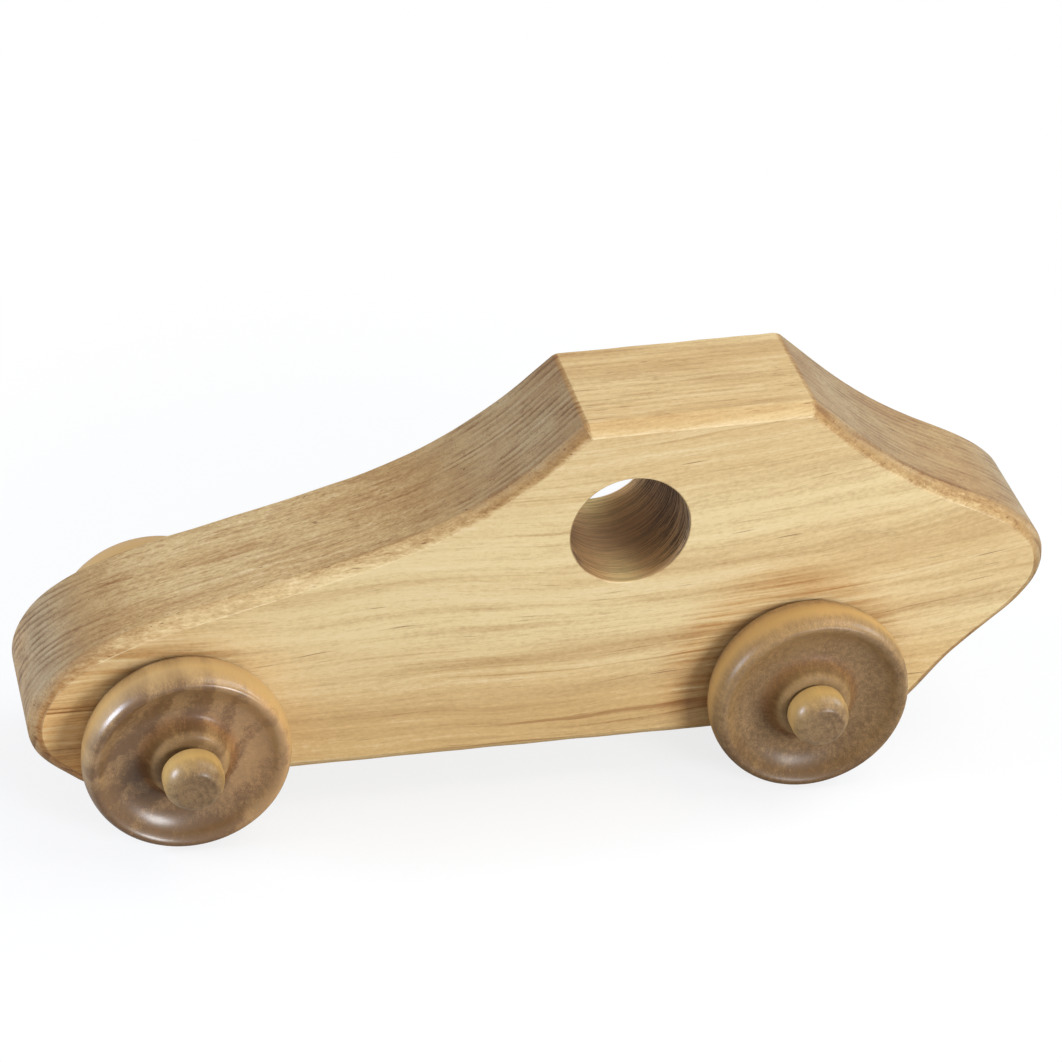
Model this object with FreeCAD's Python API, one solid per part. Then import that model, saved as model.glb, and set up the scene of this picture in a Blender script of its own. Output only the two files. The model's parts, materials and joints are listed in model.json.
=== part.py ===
import FreeCAD, Part
import os
import math

# A push-along wooden car: one sawn block, four turned wheels, and four turned
# axle pegs glued into the block. Each wheel runs loose on its own peg.
#
# Axes: +X points to the nose, +Y to the car's left, +Z up.
# Origin: on the ground, in the mid-plane, half way between nose and tail.
# All sizes are millimetres.

Vector = FreeCAD.Vector

# ---- the block ----
BLOCK_LENGTH = 254.4            # nose to tail
BLOCK_THICKNESS = 38.1          # planed thickness of the plank
BLOCK_HEIGHT = 94.5             # underside to the highest point of the roof
GROUND_CLEARANCE = 10.4         # ground to underside
ROOF_FALL = 1.4                 # the roof is this much lower at the windscreen
EDGE_ROUNDOVER = 3.2            # routed round both side faces
ROOF_EDGE_SOFTENING = 0.8       # hand-sanded ridges at the ends of the roof
TAIL_CORNER_ROUNDING = 5.0      # where the undercut tail meets the underside

# ---- corners of the side outline, as shares of the block's length from the nose ----
ROOF_FRONT = 0.5243             # top of the windscreen
ROOF_REAR = 0.7467              # top of the boot line
BASE_FRONT = 0.0859             # where the nose has tucked back under
BASE_REAR = 0.8639              # foot of the undercut tail

# ---- the round window ----
WINDOW_DIAMETER = 29.6
WINDOW_FROM_NOSE = 145.7
WINDOW_HEIGHT = 73.4            # above the ground
WINDOW_RIM_SOFTENING = 0.4

# ---- the wheels ----
WHEEL_DIAMETER = 50.8
WHEEL_THICKNESS = 13.9          # flat back to the crest of the rim, before sanding
TREAD_ARC_RADIUS = 12.2         # the tread is rounded across its width
DISH_DEPTH = 5.7                # unsanded crest to the floor of the dish
HUB_DIAMETER = 20.6             # at the root of the hub
HUB_TAPER = 0.7                 # loss of radius from root to face
HUB_SET_BACK = 1.3              # unsanded crest to the face of the hub
HUB_ROOT_LIFT = 0.7             # floor of the dish to the root of the hub
DISH_LOW_POINT = 0.42           # place of the floor, as a share of the way from hub to rim
CREST_ROUNDING = 0.7
BACK_EDGE_ROUNDING = 1.0
HUB_ROOT_ROUNDING = 1.5
HUB_FACE_ROUNDING = 2.2
WHEEL_SIDE_GAP = 0.6            # block to the back of a wheel
FRONT_AXLE_FROM_NOSE = 36.9
WHEELBASE = 155.6

# ---- the axle pegs ----
PEG_SHANK_DIAMETER = 8.7
PEG_SHANK_LENGTH = 28.6
PEG_HEAD_DIAMETER = 14.7
PEG_HEAD_LENGTH = 8.1
PEG_FLAT_DIAMETER = 9.4         # flat end-grain circle on the head
PEG_HEAD_STRAIGHT = 3.2         # straight part of the head before it rounds in
PEG_HEAD_BACK_EDGE = 0.6        # small bevel at the back of the head
PEG_TIP_BEVEL = 1.0
PEG_CROWN_OUT = 0.70            # middle of the crown's arc, as a share of its width
PEG_CROWN_UP = 0.62             # the same, as a share of its height
FRONT_HEAD_GAP = 2.4            # face of the hub to the back of a front peg's head
REAR_HEAD_GAP = 0.9             # the same at the rear, where the pegs are driven deeper

# ---- fits ----
RUNNING_CLEARANCE = 0.10        # wheel bore over peg shank, on the radius
GLUE_FILM = 0.05                # block hole over peg shank, on the radius

# ---- sizes that follow from those above ----
NOSE_X = BLOCK_LENGTH / 2
TAIL_X = -BLOCK_LENGTH / 2
FRONT_AXLE_X = NOSE_X - FRONT_AXLE_FROM_NOSE
REAR_AXLE_X = FRONT_AXLE_X - WHEELBASE
WHEEL_RADIUS = WHEEL_DIAMETER / 2
PEG_SHANK_RADIUS = PEG_SHANK_DIAMETER / 2
WHEEL_BORE_RADIUS = PEG_SHANK_RADIUS + RUNNING_CLEARANCE
PEG_HOLE_RADIUS = PEG_SHANK_RADIUS + GLUE_FILM
WHEEL_BACK_Y = BLOCK_THICKNESS / 2 + WHEEL_SIDE_GAP
HUB_FACE_Y = WHEEL_BACK_Y + WHEEL_THICKNESS - HUB_SET_BACK


def outline_point(from_nose, from_base):
    """A point of the side outline, given as shares of the block's length and height."""
    x = NOSE_X - from_nose * BLOCK_LENGTH
    z = GROUND_CLEARANCE + from_base * BLOCK_HEIGHT
    return Vector(x, 0, z)


def roof_corners():
    """The front and rear corners of the roof line."""
    front = outline_point(ROOF_FRONT, 1.0) - Vector(0, 0, ROOF_FALL)
    return front, outline_point(ROOF_REAR, 1.0)


def smooth_edge(points, start_direction, end_direction):
    """One smooth sawn curve through the points, leaving and arriving in set directions."""
    curve = Part.BSplineCurve()
    curve.interpolate(
        Points=points,
        InitialTangent=Vector(*start_direction),
        FinalTangent=Vector(*end_direction),
    )
    return curve.toShape()


def side_outline():
    """The closed side view of the car, drawn in the mid-plane."""
    roof_front, roof_rear = roof_corners()

    # windscreen hollow, bonnet, and the round nose tucked back under to the base
    front = [
        roof_front,
        outline_point(0.4635, 0.8413),
        outline_point(0.3878, 0.7164),
        outline_point(0.2957, 0.6265),
        outline_point(0.1525, 0.5206),
        outline_point(0.0702, 0.4423),
        outline_point(0.0145, 0.3238),
        outline_point(0.0, 0.2074),
        outline_point(0.0118, 0.1079),
        outline_point(0.0420, 0.0349),
        outline_point(BASE_FRONT, 0.0),
    ]

    # undercut tail, rounded tail tip, and the hollow boot line up to the roof
    rear = [
        outline_point(BASE_REAR, 0.0),
        outline_point(0.8831, 0.0614),
        outline_point(0.9169, 0.1735),
        outline_point(0.9714, 0.3111),
        outline_point(0.9976, 0.4190),
        outline_point(0.9945, 0.5143),
        outline_point(0.9600, 0.6138),
        outline_point(0.8933, 0.7079),
        outline_point(0.8149, 0.8413),
        roof_rear,
    ]

    windscreen_slope = (0.72, 0, -0.70)
    boot_slope = (0.75, 0, 0.66)
    front_edge = smooth_edge(front, windscreen_slope, (-1, 0, 0))
    rear_edge = smooth_edge(rear, (-0.70, 0, 0.72), boot_slope)
    base_edge = Part.makeLine(front[-1], rear[0])
    roof_edge = Part.makeLine(roof_rear, roof_front)
    return Part.Wire([front_edge, base_edge, rear_edge, roof_edge])


def edges_across(shape, x, z):
    """Edges that run straight across the block at one place of the outline."""
    found = []
    for edge in shape.Edges:
        ends = [vertex.Point for vertex in edge.Vertexes]
        at_place = [math.hypot(p.x - x, p.z - z) < 0.01 for p in ends]
        if len(ends) == 2 and all(at_place):
            found.append(edge)
    return found


def edges_of_side_faces(shape):
    """Edges that bound the two flat side faces."""
    found = []
    for edge in shape.Edges:
        box = edge.BoundBox
        flat = box.YLength < 0.001
        at_side = abs(abs(box.YMin) - BLOCK_THICKNESS / 2) < 0.001
        if flat and at_side:
            found.append(edge)
    return found


def cross_cylinder(x, z, radius):
    """A drill's path across the car, longer than the block is thick."""
    start = Vector(x, -BLOCK_THICKNESS, z)
    return Part.makeCylinder(radius, 2 * BLOCK_THICKNESS, start, Vector(0, 1, 0))


def make_body():
    """The block: sawn to outline, edges routed, then bored for the pegs and the window."""
    side = Part.Face(side_outline())
    side.translate(Vector(0, -BLOCK_THICKNESS / 2, 0))
    block = side.extrude(Vector(0, BLOCK_THICKNESS, 0))

    ridges = []
    for corner in roof_corners():
        ridges += edges_across(block, corner.x, corner.z)
    block = block.makeFillet(ROOF_EDGE_SOFTENING, ridges)
    tail_base = outline_point(BASE_REAR, 0.0)
    tail_corner = edges_across(block, tail_base.x, tail_base.z)
    block = block.makeFillet(TAIL_CORNER_ROUNDING, tail_corner)
    block = block.makeFillet(EDGE_ROUNDOVER, edges_of_side_faces(block))

    for axle_x in (FRONT_AXLE_X, REAR_AXLE_X):
        block = block.cut(cross_cylinder(axle_x, WHEEL_RADIUS, PEG_HOLE_RADIUS))

    window_x = NOSE_X - WINDOW_FROM_NOSE
    window = cross_cylinder(window_x, WINDOW_HEIGHT, WINDOW_DIAMETER / 2)
    block = block.cut(window)
    rims = []
    for edge in edges_of_side_faces(block):
        if abs(edge.BoundBox.XLength - WINDOW_DIAMETER) < 0.01:
            rims.append(edge)
    return block.makeFillet(WINDOW_RIM_SOFTENING, rims)


def ring_edges(shape, radius, height):
    """Circular edges of a turned piece, picked by radius and by height along its axis."""
    found = []
    for edge in shape.Edges:
        box = edge.BoundBox
        is_ring = abs(box.XLength - 2 * radius) < 0.01
        if is_ring and abs(box.ZMin - height) < 0.01 and box.ZLength < 0.01:
            found.append(edge)
    return found


def turned(section_edges):
    """A solid of revolution about Z from a closed half section in the XZ plane."""
    face = Part.Face(Part.Wire(section_edges))
    return face.revolve(Vector(0, 0, 0), Vector(0, 0, 1), 360)


def arc(start, middle, end):
    """A circular arc through three points given as radius and height."""
    points = [Vector(radius, 0, height) for radius, height in (start, middle, end)]
    return Part.Arc(*points).toShape()


def line(start, end):
    """A straight edge between two points given as radius and height."""
    return Part.makeLine(Vector(start[0], 0, start[1]), Vector(end[0], 0, end[1]))


def make_wheel():
    """A wheel turned about Z, flat back at height 0, dished face up."""
    half_width = WHEEL_THICKNESS / 2
    tread_fall = TREAD_ARC_RADIUS - math.sqrt(TREAD_ARC_RADIUS ** 2 - half_width ** 2)
    rim_radius = WHEEL_RADIUS - tread_fall
    hub_root = HUB_DIAMETER / 2
    hub_face_radius = hub_root - HUB_TAPER
    hub_face = WHEEL_THICKNESS - HUB_SET_BACK
    dish_floor = WHEEL_THICKNESS - DISH_DEPTH
    root_height = dish_floor + HUB_ROOT_LIFT
    floor_radius = hub_root + (rim_radius - hub_root) * DISH_LOW_POINT

    back_bore = (WHEEL_BORE_RADIUS, 0)
    back_rim = (rim_radius, 0)
    tread = (WHEEL_RADIUS, half_width)
    crest = (rim_radius, WHEEL_THICKNESS)
    floor = (floor_radius, dish_floor)
    root = (hub_root, root_height)
    hub_edge = (hub_face_radius, hub_face)
    front_bore = (WHEEL_BORE_RADIUS, hub_face)

    wheel = turned([
        line(back_bore, back_rim),
        arc(back_rim, tread, crest),
        arc(crest, floor, root),
        line(root, hub_edge),
        line(hub_edge, front_bore),
        line(front_bore, back_bore),
    ])
    wheel = wheel.makeFillet(BACK_EDGE_ROUNDING, ring_edges(wheel, rim_radius, 0))
    wheel = wheel.makeFillet(CREST_ROUNDING, ring_edges(wheel, rim_radius, WHEEL_THICKNESS))
    wheel = wheel.makeFillet(HUB_ROOT_ROUNDING, ring_edges(wheel, hub_root, root_height))
    wheel = wheel.makeFillet(HUB_FACE_ROUNDING, ring_edges(wheel, hub_face_radius, hub_face))
    return wheel


def make_peg():
    """An axle peg turned about Z, back of the head at height 0, shank below it."""
    shank = PEG_SHANK_RADIUS
    head = PEG_HEAD_DIAMETER / 2
    flat = PEG_FLAT_DIAMETER / 2
    tip = -PEG_SHANK_LENGTH
    shoulder = PEG_HEAD_STRAIGHT
    crown_radius = flat + PEG_CROWN_OUT * (head - flat)
    crown_height = shoulder + PEG_CROWN_UP * (PEG_HEAD_LENGTH - shoulder)
    return turned([
        line((0, tip), (shank - PEG_TIP_BEVEL, tip)),
        line((shank - PEG_TIP_BEVEL, tip), (shank, tip + PEG_TIP_BEVEL)),
        line((shank, tip + PEG_TIP_BEVEL), (shank, 0)),
        line((shank, 0), (head - PEG_HEAD_BACK_EDGE, 0)),
        line((head - PEG_HEAD_BACK_EDGE, 0), (head, PEG_HEAD_BACK_EDGE)),
        line((head, PEG_HEAD_BACK_EDGE), (head, shoulder)),
        arc((head, shoulder), (crown_radius, crown_height), (flat, PEG_HEAD_LENGTH)),
        line((flat, PEG_HEAD_LENGTH), (0, PEG_HEAD_LENGTH)),
        line((0, PEG_HEAD_LENGTH), (0, tip)),
    ])


def placed(shape, axle_x, side, distance):
    """Lay a turned piece across the car: its +Z faces out on the given side."""
    piece = shape.copy()
    outward = Vector(0, side, 0)
    turn = FreeCAD.Rotation(Vector(0, 0, 1), outward)
    position = Vector(axle_x, side * distance, WHEEL_RADIUS)
    piece.Placement = FreeCAD.Placement(position, turn)
    return piece


def make_pieces():
    """Every separate piece of the car, by name."""
    wheel = make_wheel()
    peg = make_peg()
    pieces = {"body": make_body()}
    axles = (
        ("front", FRONT_AXLE_X, FRONT_HEAD_GAP),
        ("rear", REAR_AXLE_X, REAR_HEAD_GAP),
    )
    for end, axle_x, head_gap in axles:
        for hand, side in (("left", 1), ("right", -1)):
            place = end + "_" + hand
            head_back = HUB_FACE_Y + head_gap
            pieces["wheel_" + place] = placed(wheel, axle_x, side, WHEEL_BACK_Y)
            pieces["axle_peg_" + place] = placed(peg, axle_x, side, head_back)
    return pieces


os.makedirs("parts", exist_ok=True)
for name, shape in make_pieces().items():
    solid = shape.Solids[0]
    solid.exportStep("parts/" + name + ".step")
    print(name, "solids", len(shape.Solids), "valid", shape.isValid(), "volume", round(solid.Volume, 1))
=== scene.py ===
# %% [markdown]
# # A push-along wooden car
#
# The toy is one sawn and routed block of pale hardwood, four turned wheels and four turned axle
# pegs, all wiped with a light brown oil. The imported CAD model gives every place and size. What is
# made here is the look: crisp but hand-softened edges, drill marks, turned curves, and wood whose
# grain runs through each piece as it does in a real plank or dowel.

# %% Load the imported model
import json
import math

import bpy
from mathutils import Matrix, Vector, noise


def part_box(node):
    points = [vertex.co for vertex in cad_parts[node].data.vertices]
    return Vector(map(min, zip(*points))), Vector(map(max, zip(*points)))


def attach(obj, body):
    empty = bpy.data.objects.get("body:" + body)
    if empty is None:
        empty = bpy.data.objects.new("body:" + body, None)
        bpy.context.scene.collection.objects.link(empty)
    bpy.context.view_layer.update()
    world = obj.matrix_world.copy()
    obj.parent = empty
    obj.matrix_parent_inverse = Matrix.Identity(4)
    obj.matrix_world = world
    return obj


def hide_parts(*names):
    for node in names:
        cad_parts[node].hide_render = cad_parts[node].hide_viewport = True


MM = 0.001
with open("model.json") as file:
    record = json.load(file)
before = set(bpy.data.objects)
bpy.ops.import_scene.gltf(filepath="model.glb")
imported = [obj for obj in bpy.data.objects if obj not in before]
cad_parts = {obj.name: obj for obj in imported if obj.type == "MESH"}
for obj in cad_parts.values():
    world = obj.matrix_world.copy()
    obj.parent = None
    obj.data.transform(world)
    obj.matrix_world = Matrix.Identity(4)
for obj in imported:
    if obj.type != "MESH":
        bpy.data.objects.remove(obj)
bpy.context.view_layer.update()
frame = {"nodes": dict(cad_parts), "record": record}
nodes = frame["nodes"]

# %% [markdown]
# ## The camera
#
# The car is seen from its front left corner and from well above, with a long lens, so that its
# far edges run almost parallel to the near ones. A constraint could aim the camera, but a plain
# matrix is shorter and leaves nothing live in the scene. The camera is rolled a few degrees,
# which tips the ground line up to the right.

# %% Camera
CAMERA_PLACE = Vector((206.85, 770.67, 582.75)) * MM
CAMERA_TARGET = Vector((1.2, 0, 63)) * MM
CAMERA_ROLL = math.radians(3.47)
LENS_MM = 131.66
SENSOR_MM = 36

camera_data = bpy.data.cameras.new("camera")
camera_data.lens = LENS_MM
camera_data.sensor_width = SENSOR_MM
camera = bpy.data.objects.new("camera", camera_data)
bpy.context.collection.objects.link(camera)
aim = (CAMERA_TARGET - CAMERA_PLACE).to_track_quat("-Z", "Y").to_matrix().to_4x4()
roll = Matrix.Rotation(CAMERA_ROLL, 4, "Z")
camera.matrix_world = Matrix.Translation(CAMERA_PLACE) @ aim @ roll
bpy.context.scene.camera = camera
bpy.context.scene.view_settings.view_transform = "Standard"
print("camera to car, mm:", round((CAMERA_TARGET - CAMERA_PLACE).length / MM))

# %% [markdown]
# ## Helpers for modelling by hand
#
# Blender's mesh tools act on whatever is selected in the open piece. A few small helpers keep
# that tidy: one opens a piece alone, one picks parts of it by their place, one closes it, and
# one adds a modifier and makes its result the mesh.

# %% Open, pick and close
SELECT_MODES = {"vertices": "VERT", "edges": "EDGE", "polygons": "FACE"}
TOUCH = 0.01 * MM  # points closer than this count as one place


def choose(piece):
    """Make one piece the only selected and active object."""
    bpy.ops.object.select_all(action="DESELECT")
    piece.select_set(True)
    bpy.context.view_layer.objects.active = piece


def open_piece(piece):
    """Open one piece for editing, with everything in it selected."""
    choose(piece)
    bpy.ops.object.mode_set(mode="EDIT")
    bpy.ops.mesh.select_mode(type="VERT")
    bpy.ops.mesh.select_all(action="SELECT")


def pick(piece, kind, rule):
    """In the open piece, select only the vertices, edges or polygons that pass the rule."""
    bpy.ops.mesh.select_mode(type=SELECT_MODES[kind])
    bpy.ops.mesh.select_all(action="DESELECT")
    bpy.ops.object.mode_set(mode="OBJECT")
    found = [part for part in getattr(piece.data, kind) if rule(part)]
    for part in found:
        part.select = True
    bpy.ops.object.mode_set(mode="EDIT")
    return len(found)


def close_piece():
    """Leave editing."""
    bpy.ops.object.mode_set(mode="OBJECT")


def apply_modifier(piece, kind, **settings):
    """Add one modifier to a piece, set it up and make its result the mesh."""
    modifier = piece.modifiers.new(kind.lower(), kind)
    for name, value in settings.items():
        setattr(modifier, name, value)
    choose(piece)
    bpy.ops.object.modifier_apply(modifier=modifier.name)


def ends_of(piece, edge):
    """The two end points of an edge."""
    return [piece.data.vertices[index].co for index in edge.vertices]


def edge_length(piece, edge):
    """How long an edge is."""
    start, end = ends_of(piece, edge)
    return (end - start).length


# %% [markdown]
# ## The block: its outline
#
# A maker saws the block to a side outline and sands it. The same outline is already in the CAD
# body, so the body's mesh is copied and cut through its mid-plane, and only the cut line is
# kept. That way the new block can't drift from the CAD one. The holes are bored again later. The
# small ridges at the ends of the roof are closed to plain corners, so that the wide routed edge
# can turn those corners without folding over itself.

# %% Cut the outline from the CAD body
window = next(mount for mount in frame["record"]["mounts"] if mount["name"] == "window_hole")
WINDOW_CENTRE = Vector(window["pos_m"])
WINDOW_RADIUS = window["dims"]["r_mm"] * MM
PEG_HOLE_RADIUS = 4.4 * MM
block_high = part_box("body")[1]
HALF_THICKNESS = block_high.y


def middle_of(node):
    """Middle of a CAD node's box."""
    low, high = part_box(node)
    return (low + high) / 2


def across_distance(point, centre):
    """Distance between two points as seen from the side of the car."""
    return math.hypot(point.x - centre.x, point.z - centre.z)


holes = [
    (WINDOW_CENTRE, WINDOW_RADIUS),
    (middle_of("wheel_front_left"), PEG_HOLE_RADIUS),
    (middle_of("wheel_rear_left"), PEG_HOLE_RADIUS),
]


def on_a_hole(vertex):
    """True for the cut line of the window and of the peg holes."""
    return any(across_distance(vertex.co, centre) < radius * 1.1 for centre, radius in holes)


block = bpy.data.objects.new("car_block", nodes["body"].data.copy())
block.data.materials.clear()
bpy.context.collection.objects.link(block)
open_piece(block)
bpy.ops.mesh.remove_doubles(threshold=0.001 * MM)
bpy.ops.mesh.bisect(plane_co=(0, 0, 0), plane_no=(0, 1, 0), clear_inner=True, clear_outer=True)
pick(block, "vertices", on_a_hole)
bpy.ops.mesh.delete(type="VERT")
close_piece()
print("outline points:", len(block.data.vertices))

# %% Close the roof's ridges to corners
ROOF_FALL = 1.8 * MM
RIDGE_REACH = 0.9 * MM
RIDGE_CLEARING = 2.2 * MM
roof_points = [v.co.copy() for v in block.data.vertices if v.co.z > block_high.z - ROOF_FALL]
roof_ends = [
    max(roof_points, key=lambda point: point.x),
    min(roof_points, key=lambda point: point.x),
]
for index, rough in enumerate(roof_ends):
    open_piece(block)
    pick(block, "vertices", lambda vertex: across_distance(vertex.co, rough) < RIDGE_REACH)
    bpy.ops.mesh.merge(type="CENTER")
    close_piece()
    points = [vertex.co.copy() for vertex in block.data.vertices]
    corner = min(points, key=lambda point: across_distance(point, rough))
    open_piece(block)
    pick(block, "vertices", lambda vertex: TOUCH < across_distance(vertex.co, corner) < RIDGE_CLEARING)
    bpy.ops.mesh.dissolve_verts()
    close_piece()
    roof_ends[index] = corner
print("roof ends, mm:", [[round(value / MM, 1) for value in point] for point in roof_ends])

# %% [markdown]
# Long straight stretches have no points between their ends. They are divided until no step is
# longer than a couple of millimetres, so that the edge can wander a little along them, and the
# whole line is relaxed once, which takes out the last facets.

# %% Divide the long stretches
LONGEST_STEP = 2.0 * MM


def is_long(edge):
    """True for an edge of the outline that still needs dividing."""
    return edge_length(block, edge) > LONGEST_STEP


def is_not_roof_end(vertex):
    """True away from the two corners of the roof, which stay where they are."""
    return all(across_distance(vertex.co, roof_end) > RIDGE_REACH for roof_end in roof_ends)


open_piece(block)
while pick(block, "edges", is_long):
    bpy.ops.mesh.subdivide(number_cuts=1)
pick(block, "vertices", is_not_roof_end)
bpy.ops.mesh.vertices_smooth(factor=0.5, repeat=2)
close_piece()
print("outline points after dividing:", len(block.data.vertices))

# %% [markdown]
# ## The block: thickness and routed edges
#
# The outline gets one face, which is pulled straight across to the plank's thickness. The edge
# is then rounded as a router does it. One Bevel modifier does all of it, and reads how far to
# cut from a weight on each edge: nearly full along the two sides, and a quarter where the roof
# meets the windscreen and the boot. A hand-held router and sandpaper never cut quite evenly, so
# the rounded part is then pushed in and out by a hair, in a slow drift along the edge.

# %% Pull the block to its thickness
open_piece(block)
bpy.ops.mesh.edge_face_add()
bpy.ops.transform.translate(value=(0, -HALF_THICKNESS, 0))
bpy.ops.mesh.extrude_region_move(
    TRANSFORM_OT_translate={"value": (0, 2 * HALF_THICKNESS, 0)}
)
bpy.ops.mesh.select_all(action="SELECT")
bpy.ops.mesh.normals_make_consistent(inside=False)
close_piece()
print("block thickness, mm:", round(block.dimensions.y / MM, 1))

# %% Weigh the edges and round them
ROUTED_RADIUS = 3.2 * MM
RIDGE_SHARE = 0.25
EDGE_FULLNESS = 0.38
UNEVENNESS = 0.13 * MM
DRIFT_LENGTH = 7 * MM
DRIFT_BIAS = 0.6  # mostly inwards, so that the edge stays inside the plank
NOISE_START = Vector((3.1, 0, 0))

weights = block.data.attributes.new("bevel_weight_edge", "FLOAT", "EDGE")
for edge in block.data.edges:
    start, end = ends_of(block, edge)
    if abs(start.y - end.y) < MM:
        weights.data[edge.index].value = 1
    elif min(across_distance(start, roof_end) for roof_end in roof_ends) < TOUCH:
        weights.data[edge.index].value = RIDGE_SHARE
apply_modifier(
    block, "BEVEL", width=ROUTED_RADIUS, segments=8, limit_method="WEIGHT",
    use_clamp_overlap=False, offset_type="OFFSET", profile=EDGE_FULLNESS,
)
normals = [vertex.normal.copy() for vertex in block.data.vertices]
for vertex, normal in zip(block.data.vertices, normals):
    inset = HALF_THICKNESS - abs(vertex.co.y)
    if TOUCH < inset < ROUTED_RADIUS * 0.99:
        drift = noise.noise(vertex.co / DRIFT_LENGTH + NOISE_START)
        vertex.co += normal * UNEVENNESS * (drift - DRIFT_BIAS)
print("block faces after routing:", len(block.data.polygons))

# %% [markdown]
# ## The block: the bored holes
#
# The window and the peg holes are drilled straight across. The drill is modelled as a cylinder
# whose side is divided into many thin rings, each a few hundredths of a millimetre wider or
# narrower than the next, which is the mark that a turning bit leaves in a hole. A Boolean cuts
# it out of the block, and the sharp rim of the window is softened after that.

# %% Drill
RING_SPACING = 0.5 * MM
OVERSHOOT = 0.05 * MM
TEAR = 0.05 * MM
SCRATCH_LENGTH = 4 * MM
SCRATCH_FINENESS = 9
SCRATCH_SHARE = 0.5
TEAR_BIAS = 0.75  # mostly inwards, towards the middle of the hole


def drill(piece, centre, radius, sides, tear):
    """Bore a hole straight across a piece with a bit that leaves faint rings."""
    length = 2 * (HALF_THICKNESS + OVERSHOOT)
    bpy.ops.mesh.primitive_cylinder_add(
        vertices=sides, radius=radius, depth=length, rotation=(math.pi / 2, 0, 0),
        location=(centre.x, 0, centre.z),
    )
    bit = bpy.context.object
    bpy.ops.object.transform_apply(location=True, rotation=True, scale=True)
    open_piece(bit)
    pick(bit, "edges", lambda edge: edge_length(bit, edge) > length / 2)
    bpy.ops.mesh.subdivide(number_cuts=round(length / RING_SPACING) - 1)
    close_piece()
    for vertex in bit.data.vertices:
        ring = noise.noise(Vector((0, vertex.co.y / RING_SPACING * 0.8, 0)))
        flat = Vector((vertex.co.x - centre.x, 0, vertex.co.z - centre.z))
        spot = Vector((flat.x, flat.z, vertex.co.y * SCRATCH_FINENESS))
        scratch = noise.noise(spot / SCRATCH_LENGTH)
        vertex.co += flat.normalized() * tear * (ring + SCRATCH_SHARE * scratch - TEAR_BIAS)
    apply_modifier(piece, "BOOLEAN", operation="DIFFERENCE", solver="EXACT", object=bit)
    bpy.data.objects.remove(bit)


WINDOW_SIDES = 144
PEG_HOLE_SIDES = 48
drill(block, WINDOW_CENTRE, WINDOW_RADIUS + TEAR, WINDOW_SIDES, TEAR)
for centre, radius in holes[1:]:
    drill(block, centre, radius, PEG_HOLE_SIDES, 0)
print("block faces after drilling:", len(block.data.polygons))

# %% Soften the rim of the window
RIM_SOFTENING = 0.35 * MM


def on_window_rim(edge):
    """True for the edges where the window meets a side of the block."""
    points = ends_of(block, edge)
    at_side = all(abs(abs(point.y) - HALF_THICKNESS) < TOUCH for point in points)
    distances = [across_distance(point, WINDOW_CENTRE) for point in points]
    return at_side and all(abs(d - WINDOW_RADIUS) < 3 * TEAR for d in distances)


def on_side_face(polygon):
    """True for the parts of the two flat side faces."""
    at_side = abs(abs(polygon.center.y) - HALF_THICKNESS) < 0.005 * MM
    return at_side and abs(polygon.normal.y) > 0.9999


open_piece(block)
print("rim edges:", pick(block, "edges", on_window_rim))
bpy.ops.mesh.bevel(offset=RIM_SOFTENING, segments=3, clamp_overlap=False)
close_piece()

# %% [markdown]
# The cutting leaves each flat side in several parts. They are joined again where they can be,
# and their outer border is marked sharp, so that the big flat faces are shaded truly flat. The
# rest is shaded smooth, and larger faces decide how the light runs over the small ones beside
# them.

# %% Clean the side faces and shade the block
SMOOTH_BELOW = math.radians(32)
open_piece(block)
bpy.ops.mesh.remove_doubles(threshold=0.002 * MM)
print("side parts before joining:", pick(block, "polygons", on_side_face))
bpy.ops.mesh.dissolve_limited(angle_limit=math.radians(1))
print("side parts after joining:", pick(block, "polygons", on_side_face))
bpy.ops.mesh.region_to_loop()
bpy.ops.mesh.mark_sharp()
close_piece()
choose(block)
bpy.ops.object.shade_smooth_by_angle(angle=SMOOTH_BELOW)
apply_modifier(block, "WEIGHTED_NORMAL", keep_sharp=True, weight=90)

# %% [markdown]
# ## Turned pieces
#
# Wheels and pegs come off a lathe, so each is drawn as half a section and spun. The section is
# a row of points given as distance from the axle and distance along it. Two helpers draw it:
# one gives an arc through three points, as a gouge cuts it, and one softens a corner, as
# sandpaper does while the work still turns.

# %% Drawing a half section
ARC_STEPS = 14
SOFT_STEPS = 8
PULL = 0.66


def arc_through(start, middle, end):
    """Points of the circular arc from start to end by way of middle, without its start."""
    a, b = middle - start, end - start
    turn = 2 * a.cross(b)
    centre = start + Vector((
        (b.y * a.length_squared - a.y * b.length_squared) / turn,
        (a.x * b.length_squared - b.x * a.length_squared) / turn,
    ))
    spoke = start - centre
    sweep = spoke.angle_signed(middle - centre) + (middle - centre).angle_signed(end - centre)
    steps = [Matrix.Rotation(-sweep * step / ARC_STEPS, 2) for step in range(1, ARC_STEPS + 1)]
    return [centre + step @ spoke for step in steps]


def soften(section, corner, reach):
    """Replace what lies within this reach of one corner by a curve that leaves no kink."""
    near = [index for index, point in enumerate(section) if (point - corner).length <= reach]
    before, after = section[:near[0]], section[near[-1] + 1:]
    ends = []
    for outer, inner in ((before[-1], section[near[0]]), (after[0], section[near[-1]])):
        far, close = (outer - corner).length, (inner - corner).length
        start = outer + (inner - outer) * (far - reach) / (far - close)
        ends += [start, start + (inner - outer).normalized() * reach * PULL]
    start, leaving, end, arriving = ends
    curve = []
    for step in range(SOFT_STEPS + 1):
        t = step / SOFT_STEPS
        first = start * (1 - t) ** 3 + leaving * 3 * t * (1 - t) ** 2
        curve.append(first + arriving * 3 * t ** 2 * (1 - t) + end * t ** 3)
    return before + curve + after


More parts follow.
